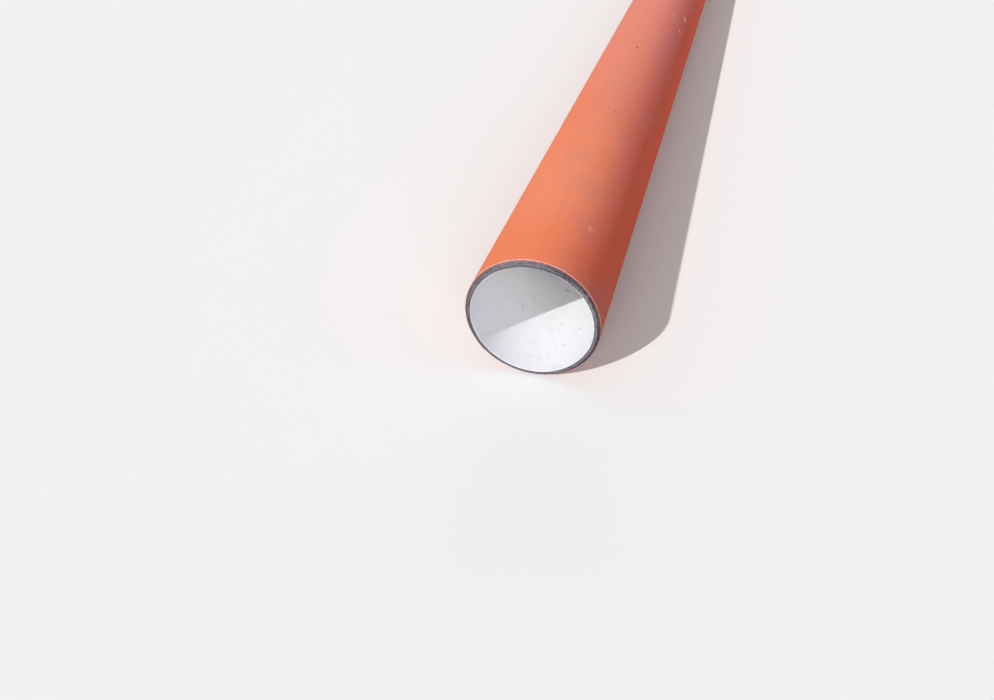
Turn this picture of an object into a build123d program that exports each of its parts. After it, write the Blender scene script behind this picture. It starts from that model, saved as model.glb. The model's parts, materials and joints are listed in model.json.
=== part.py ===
from build123d import *
import os

# A sewer pipe of polypropylene with a wall of three layers, plain at both ends,
# lying on its side. Sizes are in millimetres.
# The pipe runs along +Y from its near end, and +Z is up.
# The origin is the centre of the near end's cut face.

# The pipe as it is sold
outside_diameter = 315.0
pipe_length = 6000.0

# The wall, from the outside in
skin_thickness = 1.2
core_thickness = 12.4
liner_thickness = 0.8

# The bevel that each sawn end gets, so that it enters a socket without catching the seal
bevel_into_wall = 7.0
bevel_along_pipe = 7.0

# The radii where one layer ends and the next starts all follow from the sizes above
skin_outside = outside_diameter / 2
core_outside = skin_outside - skin_thickness
core_inside = core_outside - core_thickness
bore_radius = core_inside - liner_thickness


def bevelled_end_section():
    """Half of a lengthwise cut through a full bar with the outline of the finished pipe.

    Across is the radius and up is the distance along the pipe. The two slanting corners are
    the bevels. Each one is deeper than the skin is thick, so it bares a ring of the core.
    """
    lip = skin_outside - bevel_into_wall
    corners = [
        (0, 0),
        (lip, 0),
        (skin_outside, bevel_along_pipe),
        (skin_outside, pipe_length - bevel_along_pipe),
        (lip, pipe_length),
        (0, pipe_length),
    ]
    return make_face(Polyline(*corners, close=True))


def layer(inside, outside):
    """One layer of the wall, turned round the pipe's own line.

    The layer's section is what the bar's outline leaves between two radii. The skin gets
    slanting ends from it, the core gets its bevels, and the liner stays square.
    """
    middle = (inside + outside) / 2
    band = Pos(middle, pipe_length / 2) * Rectangle(outside - inside, pipe_length)
    section = bevelled_end_section() & band
    return revolve(section, Axis.Y)


def outer_skin():
    """The orange layer that meets the ground and the socket."""
    return layer(core_outside, skin_outside)


def core_wall():
    """The dark layer that gives the pipe its stiffness and shows as a ring at each end."""
    return layer(core_inside, core_outside)


def inner_liner():
    """The smooth white layer that the water runs over. Its inside is the bore."""
    return layer(bore_radius, core_inside)


os.makedirs("parts", exist_ok=True)
export_step(outer_skin(), "parts/outer_skin.step")
export_step(core_wall(), "parts/core_wall.step")
export_step(inner_liner(), "parts/inner_liner.step")
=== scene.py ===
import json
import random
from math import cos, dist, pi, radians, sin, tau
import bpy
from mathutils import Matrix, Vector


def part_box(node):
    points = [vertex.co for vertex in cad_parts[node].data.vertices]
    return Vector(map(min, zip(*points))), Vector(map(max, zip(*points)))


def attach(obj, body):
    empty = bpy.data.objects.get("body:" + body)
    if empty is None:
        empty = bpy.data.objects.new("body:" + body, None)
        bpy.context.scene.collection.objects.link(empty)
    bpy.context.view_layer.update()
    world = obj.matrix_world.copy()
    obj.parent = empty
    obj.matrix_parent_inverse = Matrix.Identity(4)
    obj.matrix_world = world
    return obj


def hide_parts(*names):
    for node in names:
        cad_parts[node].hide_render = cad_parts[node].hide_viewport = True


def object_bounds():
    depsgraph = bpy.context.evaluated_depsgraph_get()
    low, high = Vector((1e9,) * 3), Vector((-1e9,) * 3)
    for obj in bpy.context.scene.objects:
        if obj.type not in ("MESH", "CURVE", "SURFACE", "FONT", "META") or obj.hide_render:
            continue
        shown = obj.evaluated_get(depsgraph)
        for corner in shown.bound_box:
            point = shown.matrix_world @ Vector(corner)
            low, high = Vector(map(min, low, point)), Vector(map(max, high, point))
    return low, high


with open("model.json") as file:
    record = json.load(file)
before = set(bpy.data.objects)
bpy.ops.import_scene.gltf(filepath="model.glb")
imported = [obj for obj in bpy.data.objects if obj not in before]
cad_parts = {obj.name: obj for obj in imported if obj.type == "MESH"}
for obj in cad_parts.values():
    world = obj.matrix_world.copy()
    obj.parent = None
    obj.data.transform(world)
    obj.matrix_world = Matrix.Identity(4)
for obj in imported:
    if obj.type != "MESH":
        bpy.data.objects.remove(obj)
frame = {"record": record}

# %% [markdown]
# A sewer pipe on a plain floor
#
# The object is one length of polypropylene sewer pipe, lying on its side. Its wall has three
# layers: a thin orange skin, a thick dark core and a thin white liner. All three show at the
# sawn end, where a bevel cuts through the skin into the core.
#
# The CAD model already gives every size, so nothing is measured again here. Each step below
# reads its sizes from the frame and adds what a CAD model lacks: a rounder mesh, the marks
# that the saw left, and the finish of each plastic. All lengths are in metres.

# %% Modules and the box of the CAD model
from types import SimpleNamespace

import bpy
from mathutils import Vector

cad_low, cad_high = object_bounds()
print("CAD box, metres:", [round(v, 4) for v in cad_low], [round(v, 4) for v in cad_high])

# %% [markdown]
# The sizes that everything shares
#
# The pipe's line runs along Y, from its near end at zero. A facetted CAD mesh reaches the true
# circle only at its corners, so each radius is half the wider side of its node's box. The
# skin's box has corners on all four sides, so a rounder skin with that radius can't stand
# proud of the CAD model.
#
# The bevel is worked out from two places on it. It meets the skin's outside where the
# spigot's wall starts, and it meets the skin's inside where the skin itself starts.

# %% Radii, length and bevel
def half_width(node):
    """The true radius of a round node."""
    low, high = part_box(node)
    return max(high.x - low.x, high.z - low.z) / 2


mounts = {mount["name"]: mount for mount in frame["record"]["mounts"]}
skin_radius = half_width("outer_skin")
core_radius = half_width("core_wall")
liner_radius = half_width("inner_liner")
bore_radius = mounts["bore"]["dims"]["r_mm"] / 1000
pipe_length = cad_high.y - cad_low.y

bevel_back = mounts["near_spigot"]["pos_m"][1]
skin_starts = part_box("outer_skin")[0].y
bevel_slope = (skin_radius - core_radius) / (bevel_back - skin_starts)
lip_radius = skin_radius - bevel_slope * bevel_back
print(f"skin {skin_radius:.4f}, core {core_radius:.4f}, liner {liner_radius:.4f}, bore {bore_radius:.4f}")
print(f"bevel from radius {lip_radius:.4f} back {bevel_back * 1000:.1f} mm along the pipe")

# %% [markdown]
# Where the viewer stands
#
# The camera comes first, because it decides which marks are worth making. It stands a little
# to the right of the pipe's line, at chest height above the floor, and looks down along the
# pipe. The rim of the near end gave the place: a circle seen at a slant is an ellipse, and
# only one place and one lens give that ellipse and the narrowing of the pipe behind it.
#
# The lens is given as the distance to the picture plane in pixels of a picture 994 wide.
# Blender wants it in millimetres for a sensor 36 mm wide, so the two are in proportion.

# %% The camera
picture_width = 994
picture_distance = 780
viewer = Vector((0.324, -1.363, 1.054))
look_left = radians(16.48)
look_down = radians(39.07)

lens = bpy.data.cameras.new("viewer")
lens.sensor_width = 36
lens.lens = picture_distance / picture_width * lens.sensor_width
camera = bpy.data.objects.new("viewer", lens)
camera.location = viewer
camera.rotation_euler = (pi / 2 - look_down, 0, look_left)
bpy.context.scene.collection.objects.link(camera)
bpy.context.scene.camera = camera
print(f"camera {lens.lens:.1f} mm, {viewer.z - cad_low.z:.2f} m above the floor")

# %% [markdown]
# Short ways to wire nodes
#
# Every finish below is a small machine of nodes. Written out in full, each node takes four or
# five lines. A helper for each kind of step turns them into recipes that can be read.
#
# Blender's Mix node keeps a pair of inputs for every kind of value, all with the same names,
# so the pair for colours is called by its numbers.

# %% Wiring helpers
mix_share, mix_under, mix_over, mix_result = 0, 6, 7, 2


def wire(tree, kind, inputs=None, **settings):
    """Add a node, give it its settings, and feed its inputs with numbers or other nodes."""
    made = tree.nodes.new(kind)
    for name, value in settings.items():
        setattr(made, name, value)
    for name, value in (inputs or {}).items():
        if isinstance(value, bpy.types.NodeSocket):
            tree.links.new(value, made.inputs[name])
        else:
            made.inputs[name].default_value = value
    return made


def maths(tree, operation, first, *others):
    """A sum on several numbers from left to right, or on one where the sum needs only one."""
    for other in others or (0.0,):
        first = wire(tree, "ShaderNodeMath", {0: first, 1: other}, operation=operation).outputs[0]
    return first


def product(tree, *values):
    """Values multiplied, which for shares says how far all of them hold at once."""
    return maths(tree, "MULTIPLY", *values)


def largest(tree, *values):
    """The largest of several values."""
    return maths(tree, "MAXIMUM", *values)


def vector_maths(tree, operation, result, *values):
    """A sum on places or directions. Its result is a Vector or a Value."""
    return wire(tree, "ShaderNodeVectorMath", dict(enumerate(values)), operation=operation).outputs[result]


def laid_over(tree, under, over, share, mode="MIX"):
    """One colour laid over another by a share from 0 to 1."""
    inputs = {mix_share: share, mix_under: under, mix_over: over}
    return wire(tree, "ShaderNodeMix", inputs, data_type="RGBA", blend_type=mode).outputs[mix_result]


def new_finish(name):
    """An empty material, its nodes and its shader."""
    finish = bpy.data.materials.new(name)
    finish.use_nodes = True
    return finish, finish.node_tree, finish.node_tree.nodes["Principled BSDF"]


print("colours go into inputs", mix_under, "and", mix_over, "of a Mix node")

# %% [markdown]
# The floor
#
# The floor is one large pale sheet at the height where the pipe rests. A photo studio bends
# its sheet up behind the object. This one is simply so large that its edge doesn't show.
#
# A pale floor throws much of its light back up at what lies on it. So this one has two
# colours. The camera and reflections see the pale one, and light that bounces meets a darker
# one. The background can then be nearly white without washing out the colours of the pipe.

# %% Floor sheet
floor_reach = 900
floor_mesh = bpy.data.meshes.new("floor")
corners = [(x * floor_reach, y * floor_reach, cad_low.z) for x, y in ((-1, -1), (1, -1), (1, 1), (-1, 1))]
floor_mesh.from_pydata(corners, [], [(0, 1, 2, 3)])
floor = bpy.data.objects.new("floor", floor_mesh)
bpy.context.scene.collection.objects.link(floor)
print("floor at", round(cad_low.z, 4))

# %% Floor finish
floor_seen = (0.95, 0.96, 0.96, 1)
floor_felt = (0.36, 0.36, 0.36, 1)


def looked_at(tree):
    """1 for a ray from the camera, a reflection or clear plastic, 0 for light that bounces."""
    ray = wire(tree, "ShaderNodeLightPath").outputs
    return largest(tree, ray["Is Camera Ray"], ray["Is Glossy Ray"], ray["Is Transmission Ray"])


floor_finish, floor_tree, floor_shader = new_finish("pale_floor")
floor_shader.inputs["Roughness"].default_value = 1.0
floor_shader.inputs["Specular IOR Level"].default_value = 0.0
floor_colour = laid_over(floor_tree, floor_felt, floor_seen, looked_at(floor_tree))
floor_tree.links.new(floor_colour, floor_shader.inputs["Base Color"])
floor_mesh.materials.append(floor_finish)
print("floor looks", floor_seen[0], "bright and throws back", floor_felt[0])

# %% [markdown]
# The lamps
#
# The light is a plain studio one: a key lamp and an even fill from all round. An area lamp
# would be the usual choice, but it would fade along a pipe of this length. A sun lamp is as
# strong at the far end as at the near one. The key comes from the left, behind the viewer,
# and is a little wider than the real sun, so that its shadows have soft edges.
#
# The front lamp is very wide and shines from a little to the right, low enough to reach into
# the bore, which would be a black hole without it. The back lamp does the same, much more
# weakly, for the far end.

# %% Three lamps
# name, direction that the light comes from, strength, width in degrees, colour
lamps = [
    ("key", (-0.38, -0.73, 0.57), 2.83, 1, (1.0, 0.985, 0.965)),
    ("front", (0.19, -0.96, 0.20), 3.0, 50, (0.97, 0.97, 1.0)),
    ("back", (-0.22, 0.97, 0.06), 1.0, 60, (1.0, 1.0, 1.0)),
]
for name, shines_from, strength, width, colour in lamps:
    light = bpy.data.lights.new(name, "SUN")
    light.energy = strength
    light.angle = radians(width)
    light.color = colour
    lamp = bpy.data.objects.new(name, light)
    lamp.rotation_euler = Vector(shines_from).to_track_quat("Z", "Y").to_euler()
    bpy.context.scene.collection.objects.link(lamp)
    print(name, "lamp,", strength, "from", shines_from)

# %% [markdown]
# What surrounds the pipe
#
# The world gives the rest of the fill, as an open sky does. A picture of a sky could do it
# too, but it would bring shapes and colours of its own, so one plain colour is used.
#
# Like the floor, the world looks paler than the light that it gives. The backdrop has the
# colour that the lit floor renders in, so the two run into each other without a horizon.

# %% World
fill_colour = (1.0, 0.95, 0.95, 1)
fill_strength = 0.17
backdrop = (0.889, 0.883, 0.880, 1)

world = bpy.data.worlds.new("studio")
world.use_nodes = True
bpy.context.scene.world = world
sky = world.node_tree
sky.nodes.clear()
fill = wire(sky, "ShaderNodeBackground", {"Color": fill_colour, "Strength": fill_strength})
seen = wire(sky, "ShaderNodeBackground", {"Color": backdrop, "Strength": 1.0})
choice = wire(sky, "ShaderNodeMixShader", {0: looked_at(sky), 1: fill.outputs[0], 2: seen.outputs[0]})
wire(sky, "ShaderNodeOutputWorld", {"Surface": choice.outputs[0]})

bpy.context.scene.view_settings.view_transform = "Standard"
print("fill", fill_strength, "and backdrop", backdrop[0])

# %% [markdown]
# An end that was cut by hand
#
# The saw leaves a flat face, and the bevelling tool then goes once round the rim. A tool that
# is guided by hand wavers by a few tenths of a millimetre, and here and there it tears a
# small nick in the edge of the skin. A perfectly even ring would look drawn.
#
# The waver has to join up with itself after one turn. A sum of sine waves with whole numbers
# of waves round the rim does that by itself. The nicks are narrow bumps at random angles.
# The random numbers are seeded, so every run gives the same pipe.

# %% Waver
wave_counts = range(3, 40)
# The finer a wave is, the lower it is: its height is divided by its count to this power.
calming = 0.7
# The waves never all peak in one place, so each may be this many times higher than its share.
rarely_together = 2.5


def waver(seed, depth):
    """A smooth uneven line round the rim, as a function of the angle, within about depth."""
    source = random.Random(seed)
    waves = []
    for count in wave_counts:
        waves.append((count, source.uniform(0, tau), source.gauss(0, 1) / count ** calming))
    size = depth / sum(abs(height) for _, _, height in waves) * rarely_together

    def at(angle):
        return size * sum(height * sin(count * angle + start) for count, start, height in waves)

    return at


lip_waver = {"near": waver(3, 0.0005), "far": waver(4, 0.0005)}
back_waver = {"near": waver(5, 0.0006), "far": waver(6, 0.0006)}
print("lip waver at the top of the near end, mm:", round(lip_waver["near"](pi / 2) * 1000, 3))

# %% Nicks
nick_count = 46
deepest_nick = 0.0011
widest_nick = 0.0034
# The smallest nick, as shares of the widest and of the deepest.
narrowest, shallowest = 0.35, 0.3


def nicks(seed):
    """Dents at random places round the rim, as a function of the angle. A width is a half one."""
    source = random.Random(seed)
    dents = []
    for _ in range(nick_count):
        width = source.uniform(narrowest, 1) * widest_nick / skin_radius
        dents.append((source.uniform(0, tau), width, source.uniform(shallowest, 1) * deepest_nick))

    def at(angle):
        total = 0
        for place, width, depth in dents:
            away = abs((angle - place + pi) % tau - pi) / width
            if away < 1:
                total = max(total, depth * (1 - away * away) ** 2)
        return total

    return at


skin_nicks = {"near": nicks(7), "far": nicks(8)}
print(nick_count, "nicks at each end, up to", deepest_nick * 1000, "mm deep")

# %% [markdown]
# Turning a layer on a lathe
#
# Each layer is a closed ring, so one slice through its wall says everything about it. The
# function below takes that slice at many angles and joins the slices into a mesh. Blender's
# Screw modifier turns a single slice, but here the slice changes a little with the angle,
# because of the waver.
#
# The long walls get a ring every half metre, because very long thin triangles render slowly.
# A sheet of texture coordinates is laid on as well: once round the pipe in one direction,
# and along the slice in the other.

# %% Points of a slice
ring_spacing = 0.5
# The long walls stop this far from each end, which leaves room for the points of the cut.
end_zone = 0.02


def long_wall(radius, backwards=False):
    """Points along the straight wall of one radius, from the near end or back to it."""
    start, end = cad_low.y + end_zone, cad_high.y - end_zone
    if backwards:
        start, end = end, start
    pieces = round(abs(end - start) / ring_spacing)
    return [(radius, start + (end - start) * i / pieces) for i in range(pieces + 1)]


def shares_along(points):
    """How far along a closed slice each of its points is, from 0 to 1."""
    run = [0]
    for here, ahead in zip(points, points[1:] + points[:1]):
        run.append(run[-1] + dist(here, ahead))
    return [length / run[-1] for length in run]


print("rings along a long wall:", len(long_wall(skin_radius)))

# %% The lathe
steps_round = 960
sharp_from = radians(18)


def turned(name, slice_at):
    """A closed ring round the Y axis. slice_at(angle) gives its slice as (radius, along)."""
    points, faces, sheet = [], [], []
    for step in range(steps_round):
        angle = tau * step / steps_round
        points += [(radius * cos(angle), along, radius * sin(angle)) for radius, along in slice_at(angle)]
    per_slice = len(points) // steps_round
    up = shares_along(slice_at(0))
    for step in range(steps_round):
        left, right = step * per_slice, (step + 1) % steps_round * per_slice
        here, beyond = step / steps_round, (step + 1) / steps_round
        for i in range(per_slice):
            j = (i + 1) % per_slice
            faces.append((left + i, left + j, right + j, right + i))
            sheet += [(here, up[i]), (here, up[i + 1]), (beyond, up[i + 1]), (beyond, up[i])]
    mesh = bpy.data.meshes.new(name)
    mesh.from_pydata(points, [], faces)
    mesh.uv_layers.new(name="round_and_along")
    mesh.uv_layers[0].data.foreach_set("uv", [value for pair in sheet for value in pair])
    mesh.shade_smooth()
    mesh.set_sharp_from_angle(angle=sharp_from)
    piece = bpy.data.objects.new(name, mesh)
    bpy.context.scene.collection.objects.link(piece)
    print(name, len(faces) * 2, "triangles,", per_slice, "points in a slice")
    return piece


print("one face of the skin is", round(tau * skin_radius / steps_round * 1000, 2), "mm wide")

# %% [markdown]
# What the ends have in common
#
# Skin and core are cut by the same pass of the tool, so they have to agree on where the
# bevel runs. One function answers that for any angle: the radius where the bevel leaves the
# flat face, and how far back it runs. Both layers ask it, so no gap can open between them.
#
# All three slices are also built alike: the near end outwards, the outside, the far end
# inwards, and the inside back to the start. Each layer then only has to say what its own cut
# end looks like.

# %% The bevel at any angle, and a slice from its cut end
def bevel_at(angle, end):
    """(lip radius, distance back at the skin's inside, distance back at its outside)."""
    lip = lip_radius + lip_waver[end](angle)
    back = bevel_back + back_waver[end](angle)
    inside = back * (core_radius - lip) / (skin_radius - lip)
    return lip, inside, back


def slice_from(cut_end, outside, inside):
    """A layer's slice as a function of the angle. cut_end gives (radius, distance back)."""
    def at(angle):
        near = [(radius, cad_low.y + back) for radius, back in cut_end(angle, "near")]
        far = [(radius, cad_high.y - back) for radius, back in reversed(cut_end(angle, "far"))]
        return near + long_wall(outside) + far + long_wall(inside, backwards=True)

    return at


print("bevel at the top of the near end:", [round(size, 5) for size in bevel_at(pi / 2, "near")])

# %% [markdown]
# The orange skin
#
# The skin is a thin layer of smooth plastic, and the only one that shows from outside. At
# each end the bevel cuts it to a slanting edge. The corner where the bevel meets the outside
# is turned over very slightly, as plastic is when a blade leaves it. This narrow band catches
# the light, and makes the fine pale line round the rim.
#
# A bevel modifier could turn the corner over, but it would do so evenly. Here the corner is
# one more point of the slice, so that it can follow the nicks.

# %% Skin mesh
turned_over = 0.0005
# How far the corner sinks, as a share of its length, and how much of a nick is left halfway in.
corner_sinks = 0.6
nick_halfway = 0.7


def skin_end(angle, end):
    """The skin's cut edge at one angle, from its inside to its outside."""
    _, inside, back = bevel_at(angle, end)
    torn = skin_nicks[end](angle)
    edge_radius = skin_radius - turned_over * corner_sinks
    return [
        (core_radius, inside),
        ((core_radius + edge_radius) / 2, (inside + back) / 2 + torn * nick_halfway),
        (edge_radius, back + torn),
        (skin_radius, back + turned_over + torn),
    ]


skin = turned("skin_turned", slice_from(skin_end, skin_radius, core_radius))

# %% [markdown]
# The dark core
#
# The core is nearly all of the wall. What shows of it is a ring at each end: the flat face
# that the saw left, and beside it the slope of the bevel. The two lean differently towards
# the light, so one is clearly darker than the other, and the line between them wavers.
#
# The same lathe turns it. Face and slope each get a row of points along their middle, which
# keeps the faces beside the wavering edges small and even.

# %% Core mesh
def core_end(angle, end):
    """The core's cut end at one angle, from the liner out to the skin."""
    lip, inside, _ = bevel_at(angle, end)
    return [
        (liner_radius, 0),
        ((liner_radius + lip) / 2, 0),
        (lip, 0),
        ((lip + core_radius) / 2, inside / 2),
        (core_radius, inside),
    ]


core = turned("core_turned", slice_from(core_end, core_radius, liner_radius))

# %% [markdown]
# The white liner
#
# The liner is the thinnest layer, and the one that the water runs over. Its sawn edge is a
# fine bright line beside the dark core. The saw leaves that inner corner very slightly
# broken. A narrow slanting band stands for it, because a perfectly sharp corner would catch
# no light at all.

# %% Liner mesh
broken_corner = 0.0002


def liner_end(angle, end):
    """The liner's sawn edge, from the bore outwards. It is the same at every angle and end."""
    return [(bore_radius, broken_corner), (bore_radius + broken_corner, 0), (liner_radius, 0)]


liner = turned("liner_turned", slice_from(liner_end, liner_radius, bore_radius))

# %% [markdown]
# Layers, clouds and relief
#
# A finish is built up as a painter would: lay this colour over that one, where this is so, by
# this much. What decides where is a place on the pipe or a cloud of random spots. Fewer spots
# to a metre along the pipe than across it make streaks. The relief is built the same way,
# from bumps laid on one another.
#
# Places are in metres, so the same cloud has spots of the same size on every piece.

# %% Steps and clouds
def step_up(tree, value, low, high, least=0.0, most=1.0):
    """A soft step: least at low, most at high, and a smooth change between them."""
    made = wire(tree, "ShaderNodeMapRange", {
        "Value": value, "From Min": low, "From Max": high, "To Min": least, "To Max": most,
    }, interpolation_type="SMOOTHSTEP")
    return made.outputs[0]


def cloud(tree, place, spots, detail=2, roughness=0.5):
    """Soft random spots, from 0 to 1 with an average of a half.

    spots says how many fit in a metre, in all directions or across, along and up."""
    if isinstance(spots, tuple):
        place = vector_maths(tree, "MULTIPLY", "Vector", place, spots)
        spots = 1
    made = wire(tree, "ShaderNodeTexNoise", {
        "Vector": place, "Scale": spots, "Detail": detail, "Roughness": roughness,
    })
    return made.outputs[0]


print("a cloud with 40 spots in a metre: one every", 1000 / 40, "mm")

# %% Layers, and what a shader is fed
def layered(tree, colour, layers):
    """Colours laid over one another. Each layer is: what it follows, its colour, where it
    starts to show, where it shows most, and how much it covers there."""
    for follows, over, starts, most, share in layers:
        colour = laid_over(tree, colour, over, step_up(tree, follows, starts, most, 0.0, share))
    return colour


def feed(tree, shader, colour, roughness, bumps):
    """Give a shader its colour, roughness and relief. The relief is bumps laid on one another,
    each a height from 0 to 1 and its depth in metres."""
    under = {}
    for height, depth in bumps:
        made = wire(tree, "ShaderNodeBump", {"Height": height, "Distance": depth, "Strength": 1.0, **under})
        under = {"Normal": made.outputs[0]}
    for name, value in {"Base Color": colour, "Roughness": roughness, **under}.items():
        tree.links.new(value, shader.inputs[name])


print("a layer of colour takes five values, and a layer of relief takes two")

# %% [markdown]
# Reading where a point is
#
# Every finish asks the same of a point on the pipe: how far is it from the nearer end, from
# the pipe's line, and towards the side that lay in the sun? The sheet of texture coordinates
# could answer, but each piece has its own. The place in the frame is shared by all three
# layers, so they can follow one rule.
#
# The distance from an end is taken from the middle, so both ends are finished by one rule.

# %% Where on the pipe
# The sun stood above the pipe and to its left. This is how far left it was for each step up.
sun_lean = 0.6


def split(tree, place):
    """The three parts of a place."""
    parts = wire(tree, "ShaderNodeSeparateXYZ", {0: place})
    return parts.outputs[0], parts.outputs[1], parts.outputs[2]


def where(tree):
    """Where a point of the surface is. All values are metres but sunny, which is in radii."""
    place = wire(tree, "ShaderNodeTexCoord").outputs["Object"]
    across, along, up = split(tree, place)
    squares = maths(tree, "ADD", product(tree, across, across), product(tree, up, up))
    middle = (cad_low.y + cad_high.y) / 2
    from_middle = maths(tree, "ABSOLUTE", maths(tree, "SUBTRACT", along, middle))
    to_sun = maths(tree, "SUBTRACT", up, product(tree, across, sun_lean))
    return SimpleNamespace(
        place=place,
        across=across,
        up=up,
        radius=maths(tree, "SQRT", squares),
        from_cut=maths(tree, "SUBTRACT", pipe_length / 2, from_middle),
        sunny=maths(tree, "DIVIDE", to_sun, skin_radius),
    )


print("sunny runs from", round((1 + sun_lean ** 2) ** 0.5, 2), "on the bright side to as far below nought")

# %% [markdown]
# A scuff as a tool of its own
#
# A scuff is a short pale mark where something hard brushed the pipe. Its place matters, so
# random noise can't make it. Instead a group of nodes measures how far each point is from the
# mark's middle, along the mark and across it, and fades the mark out at its ends. Noise then
# breaks it up, because a real scuff touches only the high spots.
#
# Once the group exists, every scuff, speck and stain is one node and one line in a list. Its
# lean in the list says how far it turns from the pipe's line towards running round it.

# %% The scuff group
scuff_spots = 700
# A mark is looked for out to this many times its own reach. Its edge is at 1, and it is full
# from the second value inwards. Both are squares of the share of its reach.
looked_for = 2.0
mark_ends, mark_full = 1.0, 0.25

scuff_group = bpy.data.node_groups.new("scuff", "ShaderNodeTree")
for name, kind in (("Place", "Vector"), ("Middle", "Vector"), ("Way", "Vector"), ("Side", "Vector"),
                   ("Length", "Float"), ("Width", "Float"), ("Rough", "Float")):
    scuff_group.interface.new_socket(name, in_out="INPUT", socket_type="NodeSocket" + kind)
scuff_group.interface.new_socket("Mark", in_out="OUTPUT", socket_type="NodeSocketFloat")


def fill_scuff_group(group):
    """Wire the group so that it gives 1 on a mark and 0 away from it."""
    given = wire(group, "NodeGroupInput").outputs
    away = vector_maths(group, "SUBTRACT", "Vector", given["Place"], given["Middle"])
    along = vector_maths(group, "DOT_PRODUCT", "Value", away, given["Way"])
    aside = vector_maths(group, "DOT_PRODUCT", "Value", away, given["Side"])
    along = maths(group, "DIVIDE", along, given["Length"])
    aside = maths(group, "DIVIDE", aside, given["Width"])
    ring = maths(group, "ADD", product(group, along, along), product(group, aside, aside))
    grain = maths(group, "SUBTRACT", cloud(group, given["Place"], scuff_spots, 3), 0.5)
    broken = maths(group, "ADD", ring, product(group, grain, given["Rough"]))
    size = largest(group, given["Length"], given["Width"])
    reach = product(group, size, looked_for)
    near = maths(group, "LESS_THAN", vector_maths(group, "LENGTH", "Value", away), reach)
    mark = product(group, step_up(group, broken, mark_ends, mark_full), near)
    wire(group, "NodeGroupOutput", {"Mark": mark})


fill_scuff_group(scuff_group)
print("scuff group nodes:", len(scuff_group.nodes))

# %% Marks from a list
def scuff(tree, place, radius, rough, back, clock, length, width, lean):
    """A mark at a distance back from the near end and an angle round the pipe, in degrees."""
    angle, lean = radians(clock), radians(lean)
    pipe_way = Vector((0, 1, 0))
    round_way = Vector((-sin(angle), 0, cos(angle)))
    return wire(tree, "ShaderNodeGroup", {
        "Place": place,
        "Middle": (radius * cos(angle), cad_low.y + back, radius * sin(angle)),
        "Way": pipe_way * cos(lean) + round_way * sin(lean),
        "Side": round_way * cos(lean) - pipe_way * sin(lean),
        "Length": length / 2,
        "Width": width / 2,
        "Rough": rough,
    }, node_tree=scuff_group).outputs["Mark"]


def all_marks(tree, spot, radius, marks, rough=3.0):
    """The strongest of several marks at every point."""
    shares = []
    for strength, *where_and_size in marks:
        mark = scuff(tree, spot.place, radius, rough, *where_and_size)
        shares.append(product(tree, mark, strength))
    return largest(tree, *shares)


# Such a mark is wider than the wall is thick, and leans all the way from the pipe's line.
rim_mark_width, running_round = 0.040, 90


def round_rim(marks, back=0.0):
    """Marks that run round the rim and right across it, each as strength, degrees round, length."""
    shape = (rim_mark_width, running_round)
    return [(strength, back, clock, length, *shape) for strength, clock, length in marks]


print("a mark takes six values, and one that runs round the rim takes three")

# %% [markdown]
# The weathered orange
#
# Extruded polypropylene is smooth, and a season outdoors leaves it nearly matt. Its colour
# isn't perfectly even: the sun bleaches wide soft patches and turns some of them pink, and a
# fine mottle lies over everything. Further back along the pipe more of the pink is laid on,
# which is a painted sheen. A painted image could hold all this, but it would have a seam, and
# it would blur from close by. Layers of clouds have neither fault, so each cause gets one,
# the widest first.

# %% Skin where it lay in the sun
skin_orange = (0.90, 0.243, 0.116, 1)
skin_bleached = (0.91, 0.282, 0.155, 1)
skin_pink = (0.77, 0.260, 0.215, 1)
skin_streak = (0.80, 0.195, 0.085, 1)


def weathered_orange(tree, spot, mottle):
    """The plastic's own colour, with what the sun has done to it, and a painted sheen further back."""
    # Painted sheen: more of the pink is laid on the further back the skin is.
    painted_sheen_back = step_up(tree, spot.from_cut, 0.6, 2.2, -0.12, 0.12)
    weather_and_sheen = maths(tree, "ADD", cloud(tree, spot.place, (2, 0.8, 2)), painted_sheen_back)
    return layered(tree, skin_orange, [
        (cloud(tree, spot.place, 2.2, 3), skin_bleached, 0.40, 0.66, 1.0),
        (weather_and_sheen, skin_pink, 0.40, 0.68, 0.85),
        (cloud(tree, spot.place, (11, 6, 11)), skin_pink, 0.48, 0.72, 0.35),
        (mottle, skin_streak, 0.50, 0.72, 0.28),
        (mottle, skin_bleached, 0.50, 0.30, 0.30),
    ])


print("orange, fresh and bleached:", skin_orange[:3], skin_bleached[:3])

# %% [markdown]
# The side away from the sun
#
# The side away from the sun is painted darker and a deeper orange, which is painted shade,
# and the more so the further down it is. The lowest part gets a fuller red, a painted warm
# reflection, except near the mouth. Both follow a direction that is fixed to the pipe, so
# they turn with it, where a lamp would stay behind when the pipe is turned.
#
# The die that the skin was pressed through also left faint streaks, dead straight along the
# pipe. They lie on top of the rest, wide ones first.

# %% Painted shade and a painted reflection on the lower side, and the streaks
# Painted shade for the side away from the sun, and a painted warm reflection low down.
skin_shade = (0.822, 0.617, 0.776, 1)
skin_painted_shade = (0.79, 0.135, 0.075, 1)
skin_painted_reflection = (0.92, 0.137, 0.073, 1)


def painted_shade_and_reflection(tree, colour, spot, painted_shade_share):
    """Painted shade towards the side away from the sun, and a painted warm reflection low down."""
    colour = laid_over(tree, colour, skin_shade, painted_shade_share, "MULTIPLY")
    colour = layered(tree, colour, [(spot.sunny, skin_painted_shade, 0.35, -0.05, 0.85)])
    # Painted reflection: low down, away from the mouth, a fuller red stands for warm reflected light.
    lowest = step_up(tree, spot.sunny, -0.10, -0.35, 0.0, 0.9)
    off_the_mouth = step_up(tree, spot.from_cut, 0.1, 0.9)
    return laid_over(tree, colour, skin_painted_reflection, product(tree, lowest, off_the_mouth))


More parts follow.
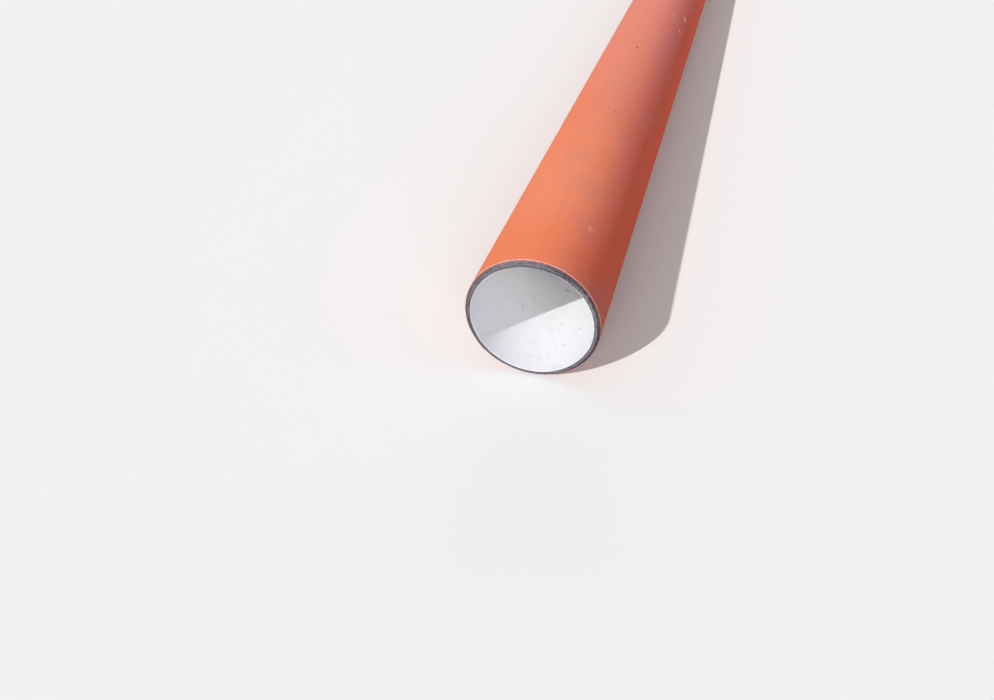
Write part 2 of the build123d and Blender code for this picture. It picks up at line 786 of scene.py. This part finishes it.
def streaked(tree, colour, spot, mottle):
    """A trace of the mottle again, then the wide and the fine streaks along the pipe."""
    return layered(tree, colour, [
        (mottle, skin_bleached, 0.50, 0.30, 0.12),
        (cloud(tree, spot.place, (55, 0.9, 55), 3, 0.6), skin_streak, 0.50, 0.78, 0.22),
        (cloud(tree, spot.place, (260, 2.5, 260), 2, 0.6), skin_bleached, 0.52, 0.75, 0.26),
    ])


print("deep and deepest orange:", skin_painted_shade[:3], skin_painted_reflection[:3])

# %% [markdown]
# What the yard has left on the skin
#
# Dust settles on the upper half, in patches. Handling adds scuffs, soiled patches, most of
# them near the rim, and a few dark specks. The two widest patches, at the mouth, are painted
# shade as well as soil. Those that can be seen one by one are listed with their places, and
# the rest of the pipe gets a thin scatter of the same kind.
#
# Grit comes from a Voronoi texture. It fills space with cells, each with a point and a random
# colour of its own. A speck is drawn round the point, and the colour picks the few cells that
# get one.

# %% Marks on the skin
# strength, metres back from the near end, degrees round, length, width, lean
skin_scuffs = [
    (0.70, 0.208, 60.6, 0.008, 0.0055, 80),
    (1.00, 0.217, 58.3, 0.012, 0.0060, 80),
    (1.00, 0.205, 57.6, 0.010, 0.0055, 80),
    (0.60, 0.216, 54.6, 0.009, 0.0060, 80),
    (0.45, 0.357, 63.8, 0.021, 0.0028, -67),
    (1.00, 2.010, 41.3, 0.044, 0.0170, 15),
    (0.90, 1.837, 42.2, 0.030, 0.0130, 10),
    (0.35, 1.940, 59.0, 0.040, 0.0200, 0),
    (0.35, 1.745, 56.0, 0.070, 0.0070, -43),
    (0.30, 1.915, 55.4, 0.050, 0.0060, -40),
    (0.20, 0.250, 112.0, 0.090, 0.0060, -64),
]
skin_patches = [
    (0.30, 0.047, 136.0, 0.030, 0.0160, 20),
    (0.10, 0.056, 47.0, 0.060, 0.0360, 60),
    # The next two, the widest, cover the mouth on the side away from the sun: soil, and painted shade that
    # darkens that side over its first part.
    (0.26, 0.010, 14.0, 0.230, 0.1700, 90),
    (0.13, 0.000, 4.0, 0.260, 0.3400, 90),
    (0.12, 1.232, 65.6, 0.080, 0.0300, 10),
]
skin_specks = [
    (0.80, 1.443, 88.3, 0.022, 0.0080, 0),
    (0.60, 0.863, 79.4, 0.010, 0.0090, 0),
]
print("marks listed on the skin:", len(skin_scuffs) + len(skin_patches) + len(skin_specks))

# %% Dust, scuffs and grit
grit_share = 0.07


def grit(tree, spot, cells, share, fades, full):
    """Specks: how many cells in a metre, the share of them that get one, and where a speck
    fades out and is full, both as shares of its cell."""
    found = wire(tree, "ShaderNodeTexVoronoi", {"Vector": spot.place, "Scale": cells}, feature="F1")
    picked = maths(tree, "GREATER_THAN", split(tree, found.outputs["Color"])[0], 1 - share)
    return product(tree, step_up(tree, found.outputs["Distance"], fades, full), picked)


def dust_on_skin(tree, spot):
    """How much dust lies on the upper half."""
    upper_half = step_up(tree, spot.up, -0.2 * skin_radius, 0.9 * skin_radius)
    patches = step_up(tree, cloud(tree, spot.place, (9, 3, 9), 5, 0.65), 0.45, 0.75)
    return product(tree, upper_half, patches, 0.15)


def scuffs_on_skin(tree, spot):
    """The listed scuffs, and a thin scatter of fine ones in some stretches."""
    rubbed = step_up(tree, cloud(tree, spot.place, (330, 22, 330)), 0.70, 0.80)
    often = step_up(tree, cloud(tree, spot.place, 3.5, 1), 0.52, 0.70)
    scattered = product(tree, rubbed, often, 0.35)
    return largest(tree, all_marks(tree, spot, skin_radius, skin_scuffs), scattered)


def specks_on_skin(tree, spot):
    """The listed specks, and fine grit all over."""
    fine_grit = product(tree, grit(tree, spot, 30, grit_share, 0.09, 0.04), 0.28)
    return largest(tree, all_marks(tree, spot, skin_radius, skin_specks), fine_grit)


print("grit lies in one cell of", round(1 / grit_share))

# %% [markdown]
# The skin's cut edge
#
# The bevelling blade smears the cut edge of the skin brown. Low down on the side away from
# the sun the edge is painted nearly black and its dark band reaches a little further out,
# which is painted shade. The blade whitens the corner behind the edge, because polypropylene
# turns pale where it is bent or torn, and away from the sun that paleness is weakened as
# painted shade.
#
# Both bands could be faces with materials of their own, but their borders would look ruled.
# Here they are read from the distance to the pipe's line and to the end.

# %% Cut edge of the skin
skin_cut = (0.22, 0.105, 0.085, 1)
skin_cut_painted_shade = (0.060, 0.045, 0.050, 1)
skin_torn = (0.82, 0.54, 0.55, 1)
# The smear fades in between these two depths under the skin's outside.
smear_starts, smear_full = 0.0004, 0.0008
# Low down the dark band reaches this much further out, as painted shade.
painted_shade_creeps = 0.00035
# The pale corner ends this far behind the bevel, and is full a little before that.
corner_ends, corner_full = 0.0022, 0.0010
# As painted shade, this share of its paleness is taken away on the side away from the sun, and twice as
# much low down.
lost_in_shade = 0.47


def cut_edge(tree, colour, spot, painted_shade_share):
    """The smeared edge of the cut and the pale corner behind it, both with painted shade away from the sun.
    """
    # Painted shade: low on the side away from the sun the cut is darker and its dark band wider.
    shaded_underside = step_up(tree, spot.sunny, -0.40, -0.75)
    smear_and_shade_reach = maths(tree, "SUBTRACT", spot.radius, product(tree, shaded_underside, painted_shade_creeps))
    cut = step_up(tree, smear_and_shade_reach, skin_radius - smear_starts, skin_radius - smear_full)
    cut_share = maths(tree, "ADD", product(tree, shaded_underside, 0.2), 0.8)
    smear_and_shade_colour = laid_over(tree, skin_cut, skin_cut_painted_shade, shaded_underside)
    colour = laid_over(tree, colour, smear_and_shade_colour, product(tree, cut, cut_share))

    corner = step_up(tree, spot.from_cut, bevel_back + corner_ends, bevel_back + corner_full)
    corner = maths(tree, "SUBTRACT", corner, cut)
    # Painted shade: the pale corner is weakened away from the sun.
    in_shade = product(tree, maths(tree, "ADD", painted_shade_share, shaded_underside), lost_in_shade)
    broken = step_up(tree, cloud(tree, spot.place, 160, 3, 0.7), 0.35, 0.6, 0.25, 0.85)
    whitened_and_shaded = product(tree, corner, maths(tree, "SUBTRACT", 1.0, in_shade), broken)
    return laid_over(tree, colour, skin_torn, whitened_and_shaded)


print("the smear reaches the skin's outside to within", smear_starts * 1000, "mm")

# %% [markdown]
# The whole finish of the skin
#
# The steps above are laid on top of one another: the plastic, the sun, the yard, and last the
# blade, because at the edge its marks hide the rest. Dust and scuffs also make the surface
# rougher. The relief is slight: a long waviness that the die leaves, fine lines along the
# pipe, and the scuffs, which stand up because torn plastic does.

# %% Skin finish
skin_dust = (0.50, 0.36, 0.28, 1)
skin_soil_and_shade = (0.44, 0.26, 0.26, 1)
skin_scuffed = (1.0, 0.45, 0.31, 1)
skin_speck = (0.12, 0.05, 0.035, 1)
skin_matt = 0.75


def finish_skin():
    """The material of the skin."""
    finish, tree, shader = new_finish("orange_skin_finish")
    spot = where(tree)
    mottle = cloud(tree, spot.place, 210, 3, 0.7)
    # Painted shade: this share grows towards the side away from the sun.
    painted_shade_share = step_up(tree, spot.sunny, 1.0, 0.22)
    dust = dust_on_skin(tree, spot)
    scuffs = scuffs_on_skin(tree, spot)

    colour = weathered_orange(tree, spot, mottle)
    colour = painted_shade_and_reflection(tree, colour, spot, painted_shade_share)
    colour = streaked(tree, colour, spot, mottle)
    soil_and_shade = all_marks(tree, spot, skin_radius, skin_patches, 0.9)
    specks = specks_on_skin(tree, spot)
    left = [(skin_dust, dust), (skin_soil_and_shade, soil_and_shade), (skin_scuffed, scuffs), (skin_speck, specks)]
    for over, share in left:
        colour = laid_over(tree, colour, over, share)
    colour = cut_edge(tree, colour, spot, painted_shade_share)

    roughness = maths(tree, "ADD", product(tree, dust, 1.2), product(tree, scuffs, 0.25), skin_matt)
    shader.inputs["Specular IOR Level"].default_value = 0.05
    feed(tree, shader, colour, roughness, [
        (cloud(tree, spot.place, (26, 5, 26), 1), 0.0006),
        (cloud(tree, spot.place, (900, 60, 900)), 0.00003),
        (scuffs, 0.00012),
    ])
    return finish


skin_finish = finish_skin()
print("skin finish nodes:", len(skin_finish.node_tree.nodes))

# %% [markdown]
# The grain of the sawn core
#
# The core is filled with mineral powder, so where it is cut it is dull and slightly uneven.
# The saw drags short streaks round the flat face, some paler and some darker, and chips it
# here and there. Its teeth also leave straight lines across the face.
#
# Streaks that follow the ring need a cloud that is stretched round it. Its place is therefore
# made from three numbers: the direction from the pipe's line, which is two numbers and has no
# seam, and the radius, which changes much faster. Two counts of spots are then for one radian
# round the ring, and the third is for a metre outwards.

# %% Clouds of the core
saw_lean = radians(40)


def core_grain(tree, spot):
    """The clouds that the core's colour and relief are made of."""
    way_round = wire(tree, "ShaderNodeCombineXYZ", {
        0: maths(tree, "DIVIDE", spot.across, spot.radius),
        1: maths(tree, "DIVIDE", spot.up, spot.radius),
        2: spot.radius,
    }).outputs[0]
    sawn_way = wire(tree, "ShaderNodeVectorRotate", {"Vector": spot.place, "Angle": saw_lean},
                    rotation_type="Y_AXIS").outputs[0]
    return SimpleNamespace(
        streaks=cloud(tree, way_round, (7, 7, 420), 3, 0.65),
        scratches=cloud(tree, way_round, (40, 40, 2200), 2, 0.6),
        chips=cloud(tree, way_round, (22, 22, 420), 2, 0.6),
        teeth=cloud(tree, way_round, (150, 150, 60), 1),
        saw_lines=cloud(tree, sawn_way, (10, 10, 210), 2, 0.6),
        patches=cloud(tree, spot.place, 14),
    )


print("fine scratches on the core are about", round(1000 / 2200, 2), "mm wide")

# %% [markdown]
# The flat face of the core
#
# The streaks, the lines of the saw and wide uneven patches each lay some of a paler and some
# of a darker grey on the face. The saw also scorches it in places and rubs it pale in others.
# Those places are listed, because they can be seen one by one. Along the joint with the liner
# it leaves a thin dark line, which is strongest at the top.

# %% Sawn face
core_grey = (0.096, 0.089, 0.110, 1)
core_pale = (0.210, 0.205, 0.235, 1)
core_dark = (0.035, 0.030, 0.040, 1)
core_scorches = round_rim([(0.50, 62, 0.060), (0.20, 165, 0.120), (0.40, 207, 0.120)])
core_inner_scorches = round_rim([(1.00, 98, 0.170), (0.30, 150, 0.120), (0.30, 185, 0.080)])
core_rubs = round_rim([(0.40, 30, 0.085), (0.25, -12, 0.080), (0.25, 108, 0.170)])
# The halves of the face meet this far outside its middle. The rest is measured from the liner.
past_middle = 0.001
paler_from, scorch_full, joint_ends, joint_full = 0.001, 0.0016, 0.0021, 0.0009


def sawn_face(tree, spot, grain):
    """The colour of the flat face, with its scorches and its joint line."""
    mid_face = (liner_radius + lip_radius) / 2
    halves_meet = mid_face + past_middle
    colour = layered(tree, core_grey, [
        (grain.streaks, core_pale, 0.50, 0.72, 0.7),
        (grain.streaks, core_dark, 0.48, 0.30, 0.6),
        (grain.saw_lines, core_pale, 0.52, 0.66, 0.6),
        (grain.saw_lines, core_dark, 0.46, 0.34, 0.6),
        (grain.patches, core_dark, 0.50, 0.32, 0.5),
        (grain.patches, core_pale, 0.54, 0.72, 0.5),
        (spot.radius, core_pale, liner_radius + paler_from, halves_meet, 0.35),
    ])
    inner_half = step_up(tree, spot.radius, halves_meet, liner_radius + scorch_full)
    inner = product(tree, all_marks(tree, spot, mid_face, core_inner_scorches), inner_half)
    joint = step_up(tree, spot.radius, liner_radius + joint_ends, liner_radius + joint_full)
    joint = product(tree, joint, step_up(tree, grain.patches, 0.35, 0.55, 0.50, 0.95))
    scorched = largest(tree, all_marks(tree, spot, mid_face, core_scorches), inner, joint)
    colour = laid_over(tree, colour, core_dark, scorched)
    return laid_over(tree, colour, core_pale, all_marks(tree, spot, mid_face, core_rubs))


print("marks listed on the face:", len(core_scorches) + len(core_inner_scorches) + len(core_rubs))

# %% [markdown]
# The slope of the core
#
# The bevelling blade cuts more cleanly than the saw, and leaves the slope darker, with fine
# rings on it. The rings are a sine of the distance down the slope, pushed about by the
# streaks so that they don't look ruled. The blade also drags some of the skin with it, so the
# outer part of the slope is smeared brown. Towards the sun the slope turns paler, which is
# dust and painted light together. Of its listed dark patches, the strongest, low on the side
# away from the sun, is painted shade.

# %% Bevelled slope
core_bevel = (0.072, 0.056, 0.061, 1)
core_dust_and_light = (0.185, 0.140, 0.148, 1)
core_smeared = (0.155, 0.062, 0.050, 1)
core_smeared_dust_and_light = (0.350, 0.130, 0.095, 1)
ring_width = 0.0007
ring_push = 12
# The strongest patch, low on the side away from the sun, is painted shade; the other two are dark patches.
bevel_scorches_and_shade = round_rim([(0.75, -48, 0.110), (0.30, 152, 0.130), (0.30, 62, 0.110)], 0.003)


def blade_rings(tree, spot, grain):
    """The fine rings that the blade leaves, from 0 to 1."""
    turns = maths(tree, "DIVIDE", maths(tree, "ADD", spot.radius, spot.from_cut), ring_width / tau)
    turns = maths(tree, "ADD", turns, product(tree, grain.streaks, ring_push))
    return step_up(tree, maths(tree, "SINE", turns), -0.7, 0.8)


def bevelled_slope(tree, spot, grain, rings):
    """The colour of the slope, with its rings, dust and painted light towards the sun, smear, and dark
    patches, one of them painted shade.
    """
    slope = laid_over(tree, core_bevel, core_dark, product(tree, rings, 0.30))
    # Dust and painted light: the slope turns paler towards the sun.
    dust_and_light = step_up(tree, spot.sunny, 0.35, 1.0, 0.0, 0.8)
    slope = laid_over(tree, slope, core_dust_and_light, dust_and_light)
    slope = layered(tree, slope, [
        (grain.patches, core_pale, 0.52, 0.75, 0.3),
        (grain.streaks, core_dark, 0.52, 0.32, 0.6),
        (spot.radius, laid_over(tree, core_smeared, core_smeared_dust_and_light, dust_and_light),
         (lip_radius * 2 + core_radius) / 3, core_radius, 0.8),
    ])
    return laid_over(tree, slope, core_dark, all_marks(tree, spot, core_radius, bevel_scorches_and_shade))


print("rings on the slope:", round((core_radius - lip_radius) * 2 / ring_width))

# %% [markdown]
# The whole finish of the core
#
# Face and slope could have a material each, but what the tools did to both, such as chips and
# scratches, would then be made twice. Instead one material changes from the face to the slope
# with the distance from the end.

# %% Core finish
# The face ends and the slope begins between these two distances from the end.
face_ends, slope_begins = 0.0001, 0.0006


def finish_core():
    """The material of the core."""
    finish, tree, shader = new_finish("dark_core_finish")
    spot = where(tree)
    grain = core_grain(tree, spot)
    rings = blade_rings(tree, spot, grain)
    slope = bevelled_slope(tree, spot, grain, rings)
    colour = layered(tree, sawn_face(tree, spot, grain), [
        (spot.from_cut, slope, face_ends, slope_begins, 1.0),
        (grain.scratches, core_dark, 0.55, 0.75, 0.5),
        (grain.chips, core_dark, 0.50, 0.32, 0.55),
        (grain.chips, core_pale, 0.50, 0.68, 0.40),
    ])
    roughness = step_up(tree, grain.streaks, 0.3, 0.7, 0.50, 0.68)
    shader.inputs["Specular IOR Level"].default_value = 0.05
    feed(tree, shader, colour, roughness, [
        (grain.teeth, 0.00010),
        (grain.saw_lines, 0.00010),
        (grain.scratches, 0.00006),
        (rings, 0.00003),
    ])
    return finish


core_finish = finish_core()
print("core finish nodes:", len(core_finish.node_tree.nodes))

# %% [markdown]
# The white of the bore
#
# The liner is the smoothest surface of the three, and glossier than the skin. Near the mouth
# its white is painted a little colder, which is painted skylight. It is clean but for what got
# in there: a thin veil of dust along the lower part, small grey smudges, and a few specks of
# soil. It also has one small orange spot.
#
# The smudges are listed one by one, because on plain white the eye finds each of them. The
# veil and the specks come from a cloud and from cells of space, as on the skin.

# %% Marks in the bore
# strength, metres back from the near end, degrees round, length, width, lean
liner_smudges = [
    (0.50, 0.346, -83.5, 0.024, 0.0090, 126),
    (0.28, 0.215, -121.2, 0.014, 0.0080, 20),
    (0.65, 0.099, -65.3, 0.010, 0.0055, 0),
    (0.35, 0.121, -61.7, 0.008, 0.0040, 0),
    (0.25, 0.081, -71.6, 0.010, 0.0060, 0),
    (0.20, 0.079, -62.4, 0.008, 0.0040, 30),
    (0.30, 0.193, -76.2, 0.020, 0.0040, 10),
    (0.25, 0.171, -76.9, 0.010, 0.0040, 0),
    (0.35, 0.152, -52.2, 0.006, 0.0140, 10),
    (0.25, 0.130, -53.5, 0.008, 0.0050, 0),
    (0.25, 0.142, -69.0, 0.008, 0.0040, 0),
    (0.20, 0.157, -86.5, 0.010, 0.0050, 0),
]
# One small orange spot.
liner_orange_spots = [
    (0.30, 0.316, -70.0, 0.020, 0.0100, 20),
]
print("marks listed in the bore:", len(liner_smudges) + len(liner_orange_spots))

# %% White, dust and smudges
liner_white = (0.895, 0.885, 0.885, 1)
liner_painted_skylight = (0.885, 0.885, 0.930, 1)
liner_shade = (0.86, 0.85, 0.86, 1)
liner_dust = (0.50, 0.46, 0.41, 1)
liner_smudge = (0.33, 0.31, 0.30, 1)
liner_orange_spot_colour = (0.85, 0.42, 0.24, 1)


def dust_in_bore(tree, spot, near_mouth):
    """How much dust lies in the lower part of the bore."""
    low_side = step_up(tree, spot.up, -0.2 * bore_radius, -0.95 * bore_radius)
    patches = step_up(tree, cloud(tree, spot.place, (30, 12, 30), 5, 0.7), 0.48, 0.8)
    return product(tree, low_side, near_mouth, patches)


def bore_colour(tree, spot, dust, specks):
    """The colour of the bore, from the clean white with its painted skylight to the dirt and the orange
    spot.
    """
    colour = layered(tree, liner_white, [
        # Painted skylight: a colder white near the mouth.
        (spot.from_cut, liner_painted_skylight, 0.30, 0.02, 1.0),
        (cloud(tree, spot.place, (120, 1.5, 120), 3), liner_shade, 0.48, 0.75, 0.4),
    ])
    colour = laid_over(tree, colour, liner_dust, product(tree, dust, 0.35))
    colour = laid_over(tree, colour, liner_smudge, product(tree, specks, 0.55))
    colour = laid_over(tree, colour, liner_smudge, all_marks(tree, spot, bore_radius, liner_smudges))
    # The orange spot, where the list puts it.
    orange_spots = all_marks(tree, spot, bore_radius, liner_orange_spots, 1.5)
    return laid_over(tree, colour, liner_orange_spot_colour, orange_spots)


print("white of the liner:", liner_white[:3])

# %% [markdown]
# The liner's sawn edge
#
# On its sawn edge the saw smeared some of the dark core over the white. A thin line of it
# runs beside the joint along the upper half, and in three places it reaches right across.
# Faces of their own would give the smears hard borders. So they are marks from a list again,
# kept to the edge by the distance from the end.

# %% Sawn edge of the liner
liner_smeared = (0.08, 0.075, 0.088, 1)
# The line beside the joint fades in between these two distances from the core.
line_starts, line_full = 0.0004, 0.0001
liner_cut_smears = round_rim([(0.58, -42, 0.130), (0.27, -8, 0.080), (1.00, 97, 0.170)])


def smeared_edge(tree, colour, spot):
    """The core's dark plastic, smeared over the liner's sawn edge."""
    sawn = step_up(tree, spot.from_cut, broken_corner, broken_corner / 2)
    line = step_up(tree, spot.radius, liner_radius - line_starts, liner_radius - line_full, 0.0, 0.80)
    line = product(tree, line, step_up(tree, spot.sunny, 0.2, 0.75))
    smears = largest(tree, all_marks(tree, spot, liner_radius, liner_cut_smears), line)
    return laid_over(tree, colour, liner_smeared, product(tree, smears, sawn))


print("smears on the liner's sawn edge:", len(liner_cut_smears))

# %% [markdown]
# The whole finish of the liner
#
# The bore has a soft sheen. A clear coat could give it, but the real liner is one plastic
# right through, so a low roughness does it, with a little more where dust lies. The relief
# is a slight waviness, and the specks.

# %% Liner finish
liner_smooth = 0.33
soil_share = 0.08
liner_refraction = 1.49


def finish_liner():
    """The material of the liner."""
    finish, tree, shader = new_finish("white_liner_finish")
    spot = where(tree)
    near_mouth = step_up(tree, spot.from_cut, 0.9, 0.0)
    dust = dust_in_bore(tree, spot, near_mouth)
    specks = product(tree, grit(tree, spot, 60, soil_share, 0.14, 0.07), near_mouth)
    colour = smeared_edge(tree, bore_colour(tree, spot, dust, specks), spot)
    roughness = maths(tree, "ADD", product(tree, dust, 0.3), liner_smooth)
    shader.inputs["IOR"].default_value = liner_refraction
    feed(tree, shader, colour, roughness, [
        (cloud(tree, spot.place, (40, 8, 40), 1), 0.0004),
        (specks, 0.0003),
    ])
    return finish


liner_finish = finish_liner()
print("liner finish nodes:", len(liner_finish.node_tree.nodes))

# %% [markdown]
# Putting the pieces in the frame
#
# Each turned piece takes the place of its CAD node, rides on the one body that the pipe has,
# and takes its finish. The CAD nodes stay in the file for the physics, but they aren't shown.

# %% Place and finish
for piece, node, slot, finish in (
    (skin, "outer_skin", "orange_skin", skin_finish),
    (core, "core_wall", "dark_core", core_finish),
    (liner, "inner_liner", "white_liner", liner_finish),
):
    piece.data.materials.append(finish)
    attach(piece, "root")
    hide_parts(node)
    print(piece.name, "stands for", node)
